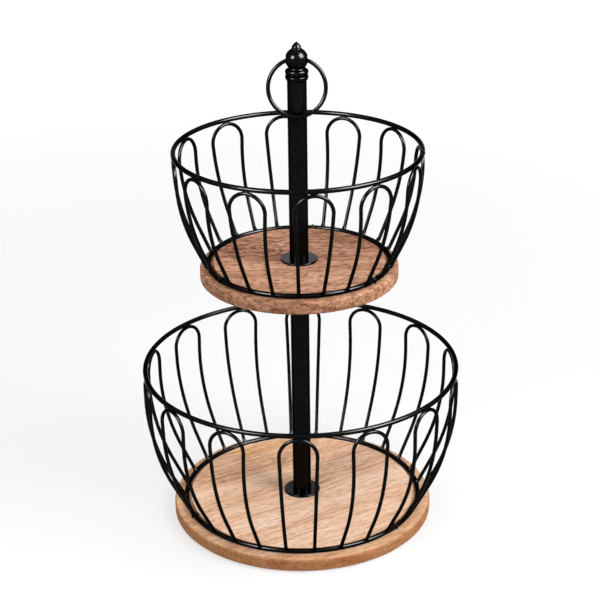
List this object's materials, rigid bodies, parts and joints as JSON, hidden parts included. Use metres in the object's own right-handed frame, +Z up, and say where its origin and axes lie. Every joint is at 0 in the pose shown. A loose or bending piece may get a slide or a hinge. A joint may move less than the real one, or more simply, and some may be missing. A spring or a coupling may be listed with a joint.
{
  "type": "tiered wire basket",
  "caption": "Tiered fruit basket: welded black wire bowls on round wooden plates, carried by a centre post with a finial and a swinging ring handle.",
  "frame": {"origin": "centre of the footprint on the floor, under the axis of the post", "axes": "+Z up along the post, -Y towards the front, where the ring handle hangs"},
  "size_m": [0.3046, 0.3046, 0.4758],
  "materials": {
    "black_paint": "satin gloss",
    "light_wood": "satin lacquer",
    "dark_wood": "satin lacquer",
    "zinc_steel": "zinc plated",
    "foot_rubber": "matt"
  },
  "bodies": {
    "stand": {"base_bolt": "zinc_steel", "base_plate": "light_wood", "base_washer": "zinc_steel", "finial": "black_paint", "finial_stud": "zinc_steel", "foot_pads": "foot_rubber", "joining_stud": "zinc_steel", "lower_arch_01": "black_paint", "lower_arch_02": "black_paint", "lower_arch_03": "black_paint", "lower_arch_04": "black_paint", "lower_arch_05": "black_paint", "lower_arch_06": "black_paint", "lower_arch_07": "black_paint", "lower_arch_08": "black_paint", "lower_arch_09": "black_paint", "lower_arch_10": "black_paint", "lower_arch_11": "black_paint", "lower_arch_12": "black_paint", "lower_arch_13": "black_paint", "lower_arch_14": "black_paint", "lower_base_ring": "black_paint", "lower_flange": "black_paint", "lower_rim": "black_paint", "lower_staples": "black_paint", "lower_tube": "black_paint", "lower_tube_inserts": "zinc_steel", "upper_arch_01": "black_paint", "upper_arch_02": "black_paint", "upper_arch_03": "black_paint", "upper_arch_04": "black_paint", "upper_arch_05": "black_paint", "upper_arch_06": "black_paint", "upper_arch_07": "black_paint", "upper_arch_08": "black_paint", "upper_arch_09": "black_paint", "upper_arch_10": "black_paint", "upper_arch_11": "black_paint", "upper_arch_12": "black_paint", "upper_base_ring": "black_paint", "upper_flange": "black_paint", "upper_plate": "dark_wood", "upper_rim": "black_paint", "upper_staples": "black_paint", "upper_tube": "black_paint", "upper_tube_inserts": "zinc_steel"},
    "handle": {"ring_handle": "black_paint"}
  },
  "joints": [
    {"name": "handle_swing", "type": "hinge", "parent": "stand", "child": "handle", "pos_m": [0, 0, 0.4599], "axis": [-1, 0, 0], "range_deg": [0, 334.9]}
  ]
}
